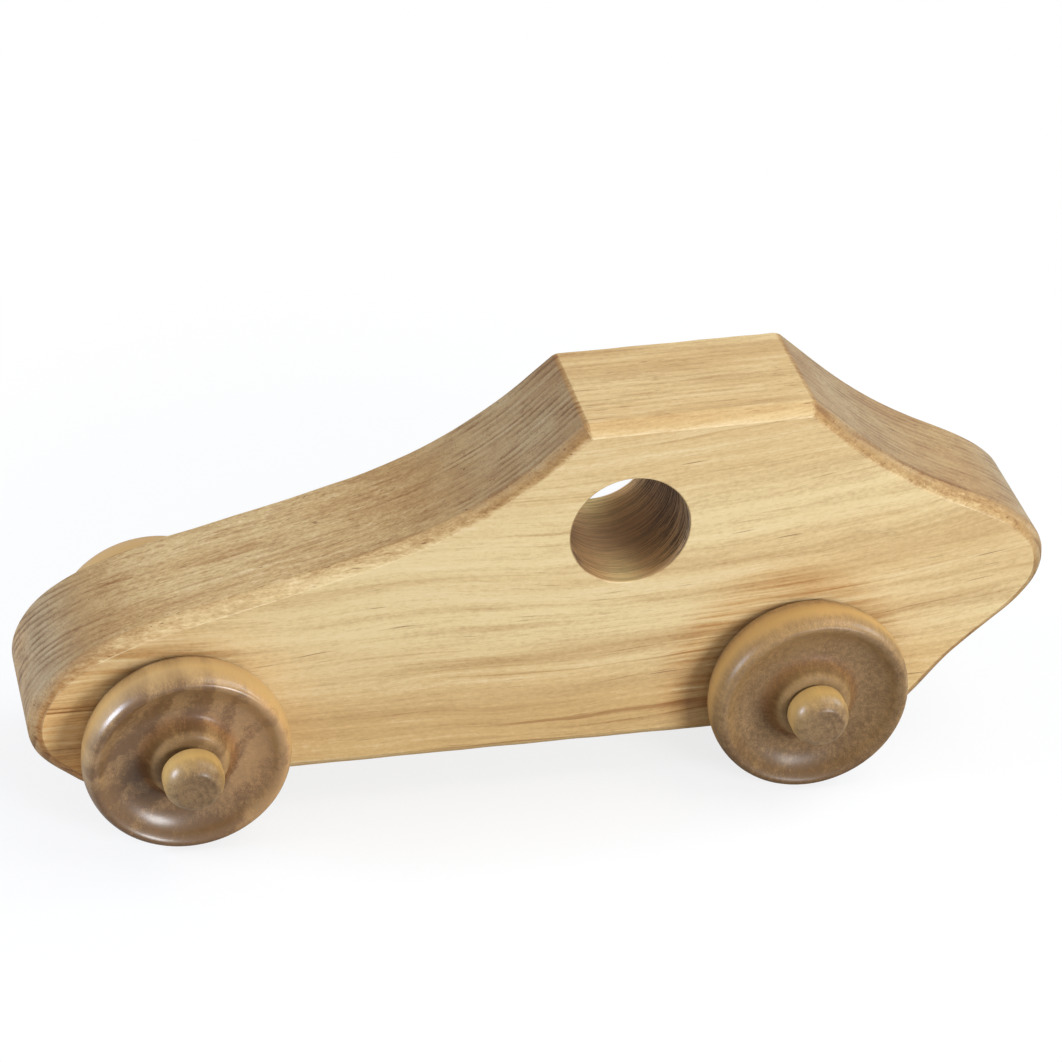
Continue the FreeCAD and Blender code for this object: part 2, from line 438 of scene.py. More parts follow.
def spin_section(name, section, steps):
    """Pull one vertex along a half section, in millimetres, and spin it round the Y axis."""
    bpy.ops.mesh.primitive_plane_add(size=MM)
    piece = bpy.context.object
    piece.name = piece.data.name = name
    open_piece(piece)
    bpy.ops.mesh.merge(type="CENTER")
    place = Vector((0, 0))
    for point in section:
        step = (point - place) * MM
        if place == Vector((0, 0)) and point == section[0]:
            bpy.ops.transform.translate(value=(step.x, step.y, 0))
        else:
            bpy.ops.mesh.extrude_vertices_move(
                TRANSFORM_OT_translate={"value": (step.x, step.y, 0)}
            )
        place = point
    bpy.ops.mesh.select_all(action="SELECT")
    bpy.ops.mesh.spin(steps=steps, angle=math.tau, center=(0, 0, 0), axis=(0, 1, 0))
    bpy.ops.mesh.select_all(action="SELECT")
    bpy.ops.mesh.remove_doubles(threshold=0.003 * MM)
    bpy.ops.mesh.normals_make_consistent(inside=False)
    close_piece()
    return piece


# %% [markdown]
# ## The wheel
#
# The wheel has a flat back, a tread that is rounded right across its width, a broad round
# crest, a dished face, and a raised hub like a flattened dome, with the bore for the peg in its
# middle. It could be put together from cylinders and a torus, but then the curves would meet in
# seams. One spun section lets them flow into each other. They are gentler than in the CAD wheel
# and stay inside it.

# %% Turn the wheel
wheel_low, wheel_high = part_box("wheel_front_left")
WHEEL_RADIUS = (wheel_high.x - wheel_low.x) / 2 / MM
BORE_RADIUS = 4.45
RIM_RADIUS = 23.37
UNSANDED_WIDTH = 13.9
CREST_CORNER = Vector((22.8, 14.8))
DISH_FLOOR = 8.0
DISH_LOW_RADIUS = 15.6
HUB_ROOT = Vector((10.5, 8.7))
HUB_SHOULDER = Vector((9.3, 12.9))
HUB_HEIGHT = 13.1
BACK_SOFTENING = 0.5
CREST_SOFTENING = 4.2
ROOT_SOFTENING = 2.6
SHOULDER_SOFTENING = 1.9
WHEEL_STEPS = 144

back_corner = Vector((RIM_RADIUS, 0))
widest = Vector((WHEEL_RADIUS, UNSANDED_WIDTH / 2))
dish_low = Vector((DISH_LOW_RADIUS, DISH_FLOOR))
wheel_section = [Vector((BORE_RADIUS, 0)), back_corner]
wheel_section += arc_through(back_corner, widest, CREST_CORNER)
wheel_section += arc_through(CREST_CORNER, dish_low, HUB_ROOT)
wheel_section += [HUB_SHOULDER, Vector((BORE_RADIUS, HUB_HEIGHT)), Vector((BORE_RADIUS, 0))]
for corner, reach in (
    (back_corner, BACK_SOFTENING),
    (CREST_CORNER, CREST_SOFTENING),
    (HUB_ROOT, ROOT_SOFTENING),
    (HUB_SHOULDER, SHOULDER_SOFTENING),
):
    wheel_section = soften(wheel_section, corner, reach)
wheel = spin_section("wheel", wheel_section, WHEEL_STEPS)
crest_height = max(point.y for point in wheel_section if point.x > DISH_LOW_RADIUS)
print("wheel faces:", len(wheel.data.polygons), "crest and hub heights, mm:",
      round(crest_height, 2), round(max(point.y for point in wheel_section), 2))

# %% [markdown]
# ## The axle peg
#
# A bought turned peg: a plain shank that is glued into the block, and a short round head that
# rounds in to a flat end where the dowel was parted off. A cylinder with a half ball on it would
# be quicker, but would lose that flat, so the peg is spun like the wheel.

# %% Turn the peg
PEG_SHANK_RADIUS = 4.35
PEG_HEAD_RADIUS = 7.35
PEG_HEAD_LENGTH = 8.1
PEG_SHANK_LENGTH = 28.6
PEG_STRAIGHT = 3.2
PEG_FLAT_RADIUS = 4.7
PEG_BACK_EDGE = 0.6
PEG_TIP_BEVEL = 1.0
PEG_CROWN = Vector((6.55, 6.24))
PEG_FLAT_SOFTENING = 0.5
PEG_STEPS = 96

shoulder = Vector((PEG_HEAD_RADIUS, PEG_STRAIGHT))
flat_edge = Vector((PEG_FLAT_RADIUS, PEG_HEAD_LENGTH))
peg_section = [
    Vector((0, -PEG_SHANK_LENGTH)),
    Vector((PEG_SHANK_RADIUS - PEG_TIP_BEVEL, -PEG_SHANK_LENGTH)),
    Vector((PEG_SHANK_RADIUS, PEG_TIP_BEVEL - PEG_SHANK_LENGTH)),
    Vector((PEG_SHANK_RADIUS, 0)),
    Vector((PEG_HEAD_RADIUS, 0)),
    shoulder,
]
peg_section += arc_through(shoulder, PEG_CROWN, flat_edge)
peg_section += [Vector((0, PEG_HEAD_LENGTH))]
peg_section = soften(peg_section, Vector((PEG_HEAD_RADIUS, 0)), PEG_BACK_EDGE)
peg_section = soften(peg_section, flat_edge, PEG_FLAT_SOFTENING)
peg = spin_section("peg", peg_section, PEG_STEPS)
print("peg faces:", len(peg.data.polygons), "length, mm:", round(peg.dimensions.y / MM, 2))

# %% [markdown]
# ## Copies for the four corners
#
# Each corner gets its own copy of the wheel and of the peg, each with its own mesh. The pieces
# on the right are turned half round, not mirrored, so that their faces still point outwards.
# The place goes into the mesh, and the object itself stays at the origin, as the CAD nodes do.

# %% Place the copies
TURNED_SMOOTH_BELOW = math.radians(35)
placed = {}
for end in ("front", "rear"):
    for hand, side in (("left", 1), ("right", -1)):
        corner = end + "_" + hand
        half_turn = Matrix.Rotation(0 if side > 0 else math.pi, 4, "Z")
        axle = middle_of("wheel_" + corner)
        wheel_back = min(abs(point.y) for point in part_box("wheel_" + corner))
        peg_end = max(abs(point.y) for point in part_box("axle_peg_" + corner))
        for kind, master, y in (
            ("wheel", wheel, wheel_back),
            ("axle_peg", peg, peg_end - PEG_HEAD_LENGTH * MM),
        ):
            name = "turned_" + kind + "_" + corner
            copy = bpy.data.objects.new(name, master.data.copy())
            bpy.context.collection.objects.link(copy)
            copy.data.transform(
                Matrix.Translation((axle.x, side * y, axle.z)) @ half_turn
            )
            choose(copy)
            bpy.ops.object.shade_smooth_by_angle(angle=TURNED_SMOOTH_BELOW)
            placed[kind + "_" + corner] = copy
for master in (wheel, peg):
    bpy.data.objects.remove(master)
print("turned pieces:", len(placed))

# %% [markdown]
# ## Writing materials as sums
#
# A wood finish is mostly arithmetic on a few patterns. One small class stands for a value on
# its way through a material, so that a sum written in Python adds the Math nodes for it. A
# second class holds the material and adds every other kind of node in one way. The nodes could
# be laid out by hand instead, but sums are easier to read and to change.

# %% Values and finishes
class Flow:
    """A value on its way through a material. Arithmetic on it adds Math nodes."""

    def __init__(self, finish, socket):
        self.finish = finish
        self.socket = socket

    def math(self, operation, *others):
        values = dict(enumerate((self, *others)))
        return self.finish.node("Math", {"operation": operation}, values)

    def __add__(self, other):
        return self.math("ADD", other)

    def __sub__(self, other):
        return self.math("SUBTRACT", other)

    def __rsub__(self, other):
        return self.finish.node("Math", {"operation": "SUBTRACT"}, {0: other, 1: self})

    def __mul__(self, other):
        return self.math("MULTIPLY", other)

    def __truediv__(self, other):
        return self.math("DIVIDE", other)

    def __pow__(self, other):
        return self.math("POWER", other)

    __radd__ = __add__

    def rise(self, low, high):
        """0 below the low value, 1 above the high one, and a smooth rise between them."""
        return self.finish.node(
            "MapRange", {"interpolation_type": "SMOOTHSTEP"},
            {"Value": self, "From Min": low, "From Max": high},
        )

    def between(self, start, full, fade, end):
        """0 up to the start, 1 from full to fade, and 0 again beyond the end."""
        return self.rise(start, full) * (1 - self.rise(fade, end))

    def clamped(self):
        """The value kept between 0 and 1."""
        return self.math("MAXIMUM", 0).math("MINIMUM", 1)


class Finish:
    """A material, or the world, while it is being written."""

    def __init__(self, owner, output_kind="OutputMaterial"):
        self.owner = owner
        self.owner.use_nodes = True
        self.tree = self.owner.node_tree
        self.tree.nodes.clear()
        self.output_kind = output_kind

    def node(self, kind, settings=None, values=None, result=0):
        """Add a node: first its settings, then a plain value or a flow for each socket."""
        made = self.tree.nodes.new("ShaderNode" + kind)
        for name, setting in (settings or {}).items():
            setattr(made, name, setting)
        for socket, value in (values or {}).items():
            if isinstance(value, Flow):
                self.tree.links.new(value.socket, made.inputs[socket])
            else:
                made.inputs[socket].default_value = value
        return None if result is None else Flow(self, made.outputs[result])

    def mix(self, factor, first, second, blend="MIX"):
        """Mix two colours, or with MULTIPLY, tint the first by the second."""
        settings = {"data_type": "RGBA", "blend_type": blend}
        return self.node("Mix", settings, {0: factor, 6: first, 7: second}, result=2)

    def output(self, shader):
        """Send a shader to the surface, and give back the finished material or world."""
        self.node(self.output_kind, None, {"Surface": shader}, result=None)
        return self.owner


def colour(red, green, blue):
    """A plain colour as a socket takes it."""
    return (red, green, blue, 1.0)


# %% [markdown]
# ## Wood as a solid
#
# A picture of planks wrapped round the pieces would show seams, and its lines wouldn't meet at
# the edges. Real grain goes right through, so the pattern here is a solid one: it is worked out
# from where a point lies in the piece. Three facts make it look like wood.
#
# - Growth rings are rounds about the tree's heart, a few millimetres apart. Where a face cuts
#   them almost along the trunk, they show as long drifting lines.
# - Fibres and pores are long and thin, and all lie one way.
# - Cut ends drink more oil than sides do, so a face turns browner the more squarely it cuts
#   across the fibres. That alone darkens the bonnet, the windscreen, the faces of the wheels
#   and the ends of the pegs.

# %% A finish that knows its grain
SEED_STEP = 17.3  # moves each pattern to its own part of the noise


class Wood(Finish):
    """A wood whose grain runs along one axis of the piece, 0 for X and 1 for Y."""

    def __init__(self, name, grain_axis, centre):
        super().__init__(bpy.data.materials.new(name))
        self.seed = 0.0
        spot = self.node("TexCoord", result="Object")
        in_mm = self.node("VectorMath", {"operation": "SCALE"}, {0: spot, "Scale": 1 / MM})
        centred = self.node(
            "VectorMath", {"operation": "SUBTRACT"}, {0: in_mm, 1: tuple(centre / MM)}
        )
        order = (grain_axis, 1 - grain_axis, 2)
        parts = [self.node("SeparateXYZ", None, {0: centred}, result=axis) for axis in order]
        self.along, self.over, self.up = parts
        self.place = self.node("CombineXYZ", None, dict(enumerate(parts)))
        facing = self.node("TexCoord", result="Normal")
        towards = self.node("SeparateXYZ", None, {0: facing}, result=grain_axis)
        self.end_grain = towards.math("ABSOLUTE")

    def pattern(self, length, width, detail=2.0, roughness=0.5, height=None):
        """Soft random pattern, this long along the grain and this wide across it, in mm."""
        self.seed += SEED_STEP
        height = height or width
        stretched = self.node(
            "VectorMath", {"operation": "MULTIPLY_ADD"},
            {0: self.place, 1: (1 / length, 1 / width, 1 / height), 2: (self.seed,) * 3},
        )
        return self.node("TexNoise", None, {
            "Vector": stretched, "Scale": 1.0, "Detail": detail, "Roughness": roughness,
        })

    def ring_count(self, heart, lean, spacing, wander, wander_length, wander_width):
        """How many rings lie between the tree's heart and a point of the piece."""
        slow = self.pattern(wander_length, wander_width, height=wander_width * 2)
        drift = (slow - 0.5) * wander
        over = self.over - heart[0] - self.along * lean[0]
        up = self.up - heart[1] - self.along * lean[1]
        distance = (over * over + up * up).math("SQRT") + drift
        return distance / spacing


# %% [markdown]
# ## The oiled block: its patterns
#
# The heart of the tree lies far behind the block, so the rings reach it as nearly flat layers.
# They show as long drifting lines on the side and as closer, darker ones on the bonnet, the
# windscreen and the boot. The lines wave a little, and bend down towards the boot. Fine streaks,
# short pores and a few dark flecks come on top, all weak, because this is a close and even wood.
# The patterns are laid out once, because all the colours that follow share them.

# %% Patterns of the block
BLOCK_HEART = (-150, 95)
BLOCK_LEAN = (0.02, 0.03)
BLOCK_RING_SPACING = 2.3
BEND_START = 20
BEND = 0.000010
WAVE_HEIGHT = 8
BORE_WALL = WINDOW_RADIUS / MM


class BlockWood(Wood):
    """The wood of the block, with the patterns that all its colours share."""

    def __init__(self):
        super().__init__("oiled_block_wood", 0, Vector((0, 0, 0)))
        behind = (self.along - BEND_START).math("MINIMUM", 0)
        wave = (self.pattern(75, 28) - 0.5) * WAVE_HEIGHT
        bent_up = self.up - behind * behind * self.up * BEND + wave
        self.place = self.node("CombineXYZ", None, {0: self.along, 1: self.over, 2: bent_up})
        rings = self.ring_count(BLOCK_HEART, BLOCK_LEAN, BLOCK_RING_SPACING, 5.0, 120, 22)
        place_in_ring = (rings + self.pattern(90, 4, height=30) * 0.8).math("FRACT")
        late = place_in_ring.between(0.25, 0.85, 0.88, 1.0)
        self.late = late * self.pattern(110, 7, 1.0).rise(0.30, 0.70)
        self.tone = self.pattern(150, 14, 1.0).rise(0.35, 0.68)
        self.band = self.pattern(95, 4.2)
        self.layer = self.pattern(90, 0.8, 3.0, 0.55, height=45)
        self.low = 1 - (self.up + self.pattern(90, 12, 1.0) * 26).rise(26, 60)
        self.thread = self.pattern(85, 1.3).rise(0.60, 0.76)
        self.streak = self.pattern(30, 0.9, 3.0, 0.6)
        self.fibre = self.pattern(7, 0.24, 2.0, 0.65)
        self.mottle = self.pattern(1.5, 0.6, 2.0, 0.7)
        self.dash = self.pattern(2.6, 0.26, 1.0).rise(0.56, 0.72)
        self.fleck = self.pattern(17, 0.6, 1.0).rise(0.69, 0.78)
        self.out = self.over.math("ABSOLUTE")
        self.cabin = self.up.rise(96, 101)
        above_sill = self.up.rise(22, 30)
        self.routed = self.out.between(15.3, 16.1, 18.7, 18.95) * above_sill
        # The outer line of the routed edge: partly wear, partly a painted highlight.
        self.wear_and_highlight = self.out.between(18.86, 18.97, 19.01, 19.04) * above_sill
        self.bored = 1 - self.distance_from(WINDOW_CENTRE).rise(BORE_WALL + 0.05, BORE_WALL + 0.15)

    def distance_from(self, centre):
        """Distance in mm from a line straight across the car, seen from the side."""
        ahead = self.along - centre.x / MM
        above = self.up - centre.z / MM
        return (ahead * ahead + above * above).math("SQRT")


block_wood = BlockWood()
print("nodes in the block's patterns:", len(block_wood.tree.nodes))

# %% [markdown]
# ## The oiled block: colour along the grain
#
# The planed sides are pale gold. Low down they are warmer, and at the nose the bright warm orange is
# painted bounce light from the front wheel, in its shade, over the wood's own warmth. Every pattern
# adds a little to one sum of darkness. Where the sum is above nothing it pulls the colour to brown,
# and where it is below, to cream. Mixing each pattern in by itself would also work, but one sum keeps
# the wood even.

# %% Colour along the grain
def side_colour(wood):
    """Pale gold with darker late wood, threads, streaks and flecks."""
    base = wood.mix(wood.tone, colour(0.82, 0.645, 0.345), colour(0.735, 0.535, 0.262))
    nose = wood.along.rise(70, 118)
    # Towards the nose the low colour turns bright orange: painted bounce light from the front wheel
    # into its shade.
    low_down = wood.mix(nose, colour(0.66, 0.39, 0.13), colour(1.0, 0.61, 0.22))
    base = wood.mix(wood.low * (0.5 + nose * 0.5), base, low_down)
    across = wood.end_grain.rise(0.05, 0.5)
    dark = wood.late * (0.25 + across * 0.35) + wood.dash * 0.14
    dark = dark + wood.thread * (0.48 + wood.low * 0.55 + wood.low * nose * 0.5)
    dark = dark + (wood.streak - 0.47) * 0.80 + (wood.band - 0.475) * 1.3
    dark = dark + (wood.layer - 0.48) * (0.4 + across * 0.9)
    dark = dark + (wood.fibre - 0.5) * 0.45 + (wood.mottle - 0.5) * 0.75
    base = wood.mix(dark.clamped(), base, colour(0.46, 0.26, 0.10))
    base = wood.mix((dark * -1.6).clamped(), base, colour(0.90, 0.735, 0.46))
    return wood.mix(wood.fleck * 0.75, base, colour(0.25, 0.12, 0.05))


# %% [markdown]
# ## The oiled block: painted shadows, pale edge lines and the roof
#
# On each side, just ahead of the wheels, the shadow that the wheels cast is painted onto the block in
# warm brown, broken by the grain. The outer line of the routed edge and the edges of the roof are pale
# lines, which are partly wear from hands and partly painted highlight. The roof is a little darker and
# warmer than the sides. These marks could be painted by hand on a map of the block, but each of them
# is a simple place on it, so a distance or a height finds it.

# %% Painted shadows, pale edge lines and the roof
# Reach of the wheels' painted shadow on the block, in mm, and how far its middle is moved from each
# axle.
WHEEL_SHADOW_REACH = (25, 35)
REAR_WHEEL_SHADOW_SHIFT = Vector((5, 0, 2)) * MM
FRONT_WHEEL_SHADOW_SHIFT = Vector((9, 0, 0)) * MM


def with_shadows_edges_and_roof(wood, base):
    """The colour with the wheels' painted shadows, pale edges that are partly worn and partly painted
    highlight, and a darker roof.
    """
    from_rear = wood.distance_from(middle_of("wheel_rear_left") + REAR_WHEEL_SHADOW_SHIFT)
    from_front = wood.distance_from(middle_of("wheel_front_left") + FRONT_WHEEL_SHADOW_SHIFT)
    nearest = from_rear.math("MINIMUM", from_front)
    # Painted shadow of the wheels on the block, warm and broken by the grain.
    painted_wheel_shadow = (1 - nearest.rise(*WHEEL_SHADOW_REACH)) * wood.out.rise(17, 19)
    painted_wheel_shadow = painted_wheel_shadow * (0.35 + wood.thread * 0.8 + (wood.streak - 0.45) * 2.2)
    base = wood.mix(painted_wheel_shadow.clamped() * 0.85, base, colour(0.70, 0.46, 0.26), "MULTIPLY")
    # Pale lines on the routed edge and the roof's edges: partly wear from hands, partly painted
    # highlight.
    wear_and_highlight = wood.wear_and_highlight + wood.out.between(15.5, 15.85, 16.0, 16.5) * wood.cabin * 0.7
    wear_and_highlight = wear_and_highlight * wood.pattern(16, 8, 2.0, 0.6).rise(0.34, 0.60)
    base = wood.mix(wear_and_highlight * 0.55, base, colour(0.96, 0.82, 0.52))
    # The roof is a little darker and warmer than the sides.
    roofed = wood.cabin * (1 - wood.out.rise(18, 19) * 0.6)
    return wood.mix(roofed, base, colour(0.91, 0.85, 0.78), "MULTIPLY")


# %% [markdown]
# ## The oiled block: cut faces
#
# The bonnet, the windscreen, the boot and the nose cut across the fibres and drink more oil. A
# light cut turns golden brown, and a square one grey brown. How squarely a face cuts is known
# from which way it faces, so one rule colours them all, and nothing has to be selected by hand.
# The streaks make the change ragged, and the routed edge is blotchy where the cutter tore it.

# %% Cut faces
def soaked(wood, base):
    """The colour browner wherever the surface cuts across the fibres."""
    ragged = wood.end_grain + (wood.streak - 0.5) * 0.20 + (wood.fibre - 0.5) * 0.20
    ragged = ragged + (wood.mottle - 0.5) * 0.2
    blotchy = 0.08 + wood.up.rise(50, 85) * 0.18
    torn = (wood.pattern(8, 0.6) - 0.3) * blotchy
    ragged = ragged + wood.routed * (1 - wood.cabin) * torn
    square = ragged.rise(0.28, 0.78)
    oiled = wood.mix(ragged.rise(0.0, 0.50), colour(1, 1, 1), colour(0.55, 0.42, 0.285))
    end = wood.mix(wood.late * 0.8, colour(0.52, 0.485, 0.485), colour(0.34, 0.29, 0.26))
    base = wood.mix(1.0, base, wood.mix(square, oiled, end), "MULTIPLY")
    return wood.mix(wood.dash * square * 0.6, base, colour(0.15, 0.085, 0.04))


# %% [markdown]
# ## The oiled block: the bored window
#
# The drill scored the wall of the window with fine rings. Shade is painted on the wall: it is darker
# deeper in, and the rings are darker above. It is also darker towards the nose. A pale warm strip
# along the bottom near each mouth is a painted reflection of the white all round. The relief of the
# rings is in the mesh already. Their colour is a pattern that is short along the drill and long round
# it.

# %% The bored window
def bore_colour(wood):
    """Colour of the window's wall, with painted shade and a painted reflection."""
    ahead = wood.along - WINDOW_CENTRE.x / MM
    above = wood.up - WINDOW_CENTRE.z / MM
    near_mouth = wood.out.rise(2, 17)
    bottom = (1 - ahead.math("ABSOLUTE").rise(0.5, 7)) * (1 - above.rise(-14.5, -8))
    inside = wood.mix(above.rise(-13, 2), colour(0.88, 0.55, 0.25), colour(0.76, 0.565, 0.38))
    # Painted shade: darker deeper in from each mouth.
    inside = wood.mix(1 - near_mouth, inside, colour(0.66, 0.64, 0.66), "MULTIPLY")
    inside = wood.mix(ahead.rise(3, 13) * 0.7, inside, colour(0.66, 0.58, 0.50), "MULTIPLY")
    # Painted reflection: a pale warm strip along the bottom near each mouth.
    painted_reflection_strip = bottom * near_mouth * wood.bored
    inside = wood.mix(painted_reflection_strip, inside, colour(1.0, 0.74, 0.34))
    # The dark drill rings, drawn stronger above as painted shade.
    scored_and_shaded = wood.mix(above.rise(-15, -6) * 0.60 + 0.32, inside, colour(0.05, 0.03, 0.02))
    drill_marks = wood.pattern(14, 0.50, 3.0, 0.75, height=14).rise(0.42, 0.58)
    return wood.mix((drill_marks + wood.mottle - 0.5).math("MINIMUM", 1), scored_and_shaded, inside)


# %% [markdown]
# ## The oiled block: colour, gloss and grain together
#
# The colours are laid one over the other: the wood, its marks, the soaked cuts, and last the
# wall of the window. The oil leaves it satin. A thin coat gives the planed faces their sheen,
# and where the router or the drill has cut, the wood stays rougher and has no coat.

# %% Put the block's finish together
def block_finish(wood):
    """Lightly oiled and satin, rougher where the router and the drill have cut."""
    base = soaked(wood, with_shadows_edges_and_roof(wood, side_colour(wood)))
    base = wood.mix(wood.bored, base, bore_colour(wood))
    height = wood.fibre * 0.5 + wood.streak * 0.4 - wood.dash * 0.5
    bump = wood.node("Bump", None, {"Strength": 0.4, "Distance": 0.14 * MM, "Height": height})
    cut_rough = wood.bored * 0.2 + wood.routed * 0.25
    return wood.output(wood.node("BsdfPrincipled", None, {
        "Base Color": base,
        "Roughness": 0.44 + (wood.streak - 0.5) * 0.2 + cut_rough,
        "Normal": bump,
        "Coat Weight": (1 - wood.bored.math("MAXIMUM", wood.routed)) * 0.09,
        "Coat Roughness": 0.25,
        "Specular IOR Level": 0.35,
    }))


block.data.materials.append(block_finish(block_wood))
print("nodes in the block's finish:", len(block_wood.tree.nodes))

# %% [markdown]
# ## The turned wood
#
# Wheels and pegs are cut from dowels, so their grain runs along the axle. The tread and the sides of
# the pegs show long fibres and stay golden. The faces show end grain and turn brown, with rings as
# arcs about a heart that lies somewhere beside the axle. Most dowels are cut across the line between
# pale sapwood and dark heartwood, so one side of a wheel is lighter and another darker. On the two
# left wheels the darker side is the lower one, and there the dark is painted shade as well. One finish
# could serve all four wheels, but then they would look cast, so each has its own heart, its own pale
# and dark side, and its own gloss.

# %% Patterns of the turned pieces
class TurnedWood(Wood):
    """Turned wood with its grain along the axle, and its look as a few named values."""

    def __init__(self, name, centre, look):
        super().__init__(name, 1, centre)
        self.look = look
        rings = self.ring_count(look["heart"], (0.0, 0.0), look["spacing"], 7.0, 90, 12)
        place_in_ring = (rings + self.pattern(60, 4) * 0.6).math("FRACT")
        self.late = place_in_ring.between(0.15, 0.70, 0.78, 1.0)
        self.cloud = self.pattern(60, 9, 3.0, 0.55)
        self.streak = self.pattern(25, 0.9, 2.0, 0.6)
        self.speck = self.pattern(2.5, 0.30, 2.0, 0.7)
        self.blotch = self.pattern(9, 1.3, 2.0, 0.7)
        self.from_axle = (self.over * self.over + self.up * self.up).math("SQRT")

    def towards(self, direction, wobble):
        """How far in mm a point lies to one side of the axle, with a cloudy border."""
        side = self.over * direction[0] + self.up * direction[1]
        return side + (self.cloud - 0.5) * wobble


# %% [markdown]
# The face of each wheel was pressed on an oiled pad, so the brown runs over the crest and fades out on
# the tread, at a line that differs from wheel to wheel. Round the peg the hub is painted lighter,
# against the shade that the peg's head casts on it, and the head has rubbed it duller. Shade is
# painted into the groove round the hub. A peg has none of these marks, so one value, faced, turns them
# off.

# %% Colour of the turned pieces
def turned_colour(wood):
    """Golden along the fibres, brown across them, with rings, clouds and specks, and painted light and
    shade on the wheels.
    """
    look = wood.look
    faced = look["faced"]
    dished = (1 - wood.from_axle.rise(20.6, 23.4)) * faced
    dipped = wood.along.math("ABSOLUTE") + (wood.pattern(60, 7) - 0.5) * 3
    dipped = dipped.rise(look["line"], look["line"] + 4) * faced
    soaked = 1 - (1 - wood.end_grain).math("MAXIMUM", 0) ** 1.5
    soaked = soaked.math("MAXIMUM", dished).math("MAXIMUM", dipped)
    base = wood.mix(soaked, look["side"], look["end"])

    pale = wood.towards(look["sapwood"], 16).rise(0, 22)
    # The darker side of the wheel. On the left wheels it is the lower part, where it is painted shade
    # as well.
    heartwood_and_shade = wood.towards(look["heartwood_and_shade"], 12).rise(4, 24)
    dark = wood.late * look["rings"] * (0.3 + soaked * 0.7) + (wood.streak - 0.5) * 0.3
    dark = dark + (wood.cloud - 0.40) * (0.5 + soaked * 1.5)
    dark = dark + ((0.5 - wood.speck) * 1.5 + (0.5 - wood.blotch) * 1.3) * soaked
    dark = dark - pale * 0.8 + heartwood_and_shade * 0.75
    base = wood.mix(dark.clamped(), base, colour(0.56, 0.50, 0.46), "MULTIPLY")
    dusty = (wood.speck * 0.55 + wood.blotch * 0.45).rise(0.44, 0.66)
    light = (dusty * 0.45 + pale * 0.9) * soaked
    base = wood.mix(light, base, colour(1.75, 1.7, 1.6), "MULTIPLY")

    # Painted light: round the peg the hub is lifted towards the golden side colour, against the shade
    # under the peg's head.
    hub = (1 - wood.from_axle.rise(8.8, 10.2)) * faced
    base = wood.mix(hub * 0.22, base, look["side"])
    # Painted shade: a darker, warmer ring in the groove round the hub.
    groove = wood.from_axle.between(9.4, 10.8, 11.4, 13.6)
    return wood.mix(groove * 0.45, base, colour(0.80, 0.52, 0.32), "MULTIPLY")


# %% [markdown]
# A coat gives the wheels their gloss, and it is worn thin round the hub, where the peg's head
# rubs. The specks and streaks that colour the wood raise its surface a little too. The coat is
# part of the same shader, because a second shader on top would need its own bump.

# %% Put a turned finish together
def turned_finish(wood):
    """Turned wood with a coat that is thin round the hub."""
    dull = (1 - wood.from_axle.rise(11, 14)) * wood.look["faced"]
    base = turned_colour(wood)
    height = wood.speck + wood.streak
    bump = wood.node("Bump", None, {"Strength": 0.3, "Distance": 0.09 * MM, "Height": height})
    return wood.output(wood.node("BsdfPrincipled", None, {
        "Base Color": base,
        "Roughness": 0.42 + (wood.cloud - 0.5) * 0.3 + dull * 0.25,
        "Normal": bump,
        "Coat Weight": (1 - dull * 0.95) * wood.look["coat"],
        "Coat Roughness": 0.26,
        "Specular IOR Level": 0.35,
    }))


# %% [markdown]
# The four wheels share their golden side. In front the end grain is warmer and at the rear it is
# greyer. The front left wheel has the glossiest coat, and the rear left one is nearly dull. The
# four pegs are alike.

# %% Looks of the wheels and pegs
WARM_END = colour(0.290, 0.172, 0.077)
COOL_END = colour(0.248, 0.152, 0.069)
wheel_side = {"side": colour(0.555, 0.34, 0.12), "faced": 0.8}
wheel_looks = {
    "front_left": {
        "heart": (30, 26), "spacing": 8.0, "rings": 1.00,
        "sapwood": (-0.9, 0.1), "heartwood_and_shade": (0.4, -0.9),
        "end": WARM_END, "coat": 0.90, "line": 2.2,
    },
    "front_right": {
        "heart": (21, -16), "spacing": 7.0, "rings": 0.40,
        "sapwood": (0.6, 0.8), "heartwood_and_shade": (-0.6, -0.6),
        "end": WARM_END, "coat": 0.35, "line": 2.0,
    },
    "rear_left": {
        "heart": (40, 30), "spacing": 5.0, "rings": 0.10,
        "sapwood": (0.1, 0.3), "heartwood_and_shade": (0.2, -1.0),
        "end": COOL_END, "coat": 0.12, "line": 0.2,
    },
    "rear_right": {
        "heart": (-33, -20), "spacing": 6.0, "rings": 0.30,
        "sapwood": (-0.8, 0.4), "heartwood_and_shade": (0.5, 0.7),
        "end": COOL_END, "coat": 0.35, "line": 1.0,
    },
}
peg_look = {
    "heart": (2, -3), "spacing": 1.9, "rings": 0.35, "sapwood": (0, 0), "heartwood_and_shade": (0, 0),
    "side": colour(0.635, 0.40, 0.133), "end": colour(0.235, 0.146, 0.068),
    "coat": 0.30, "line": 0, "faced": 0,
}
for corner, wheel_look in wheel_looks.items():
    axle = middle_of("wheel_" + corner)
    wheel_wood = TurnedWood("turned_wheel_wood_" + corner, axle, {**wheel_side, **wheel_look})
    placed["wheel_" + corner].data.materials.append(turned_finish(wheel_wood))
    peg_wood = TurnedWood("turned_peg_wood_" + corner, axle, peg_look)
    placed["axle_peg_" + corner].data.materials.append(turned_finish(peg_wood))
print("materials:", len(bpy.data.materials))

# %% [markdown]
# ## Light
#
# A product table with four soft lamps: a broad one in front of the near side, a wide warm one
# overhead, a cool one ahead of the nose, and a cool one behind the boot. The white all round is
# a colour of the backdrop, not more light on the car: camera rays see plain white, glossy rays
# see half of it, and every other ray sees a dimmer world. A picture of a studio could light the
# car too, but four lamps are easier to understand and to move.

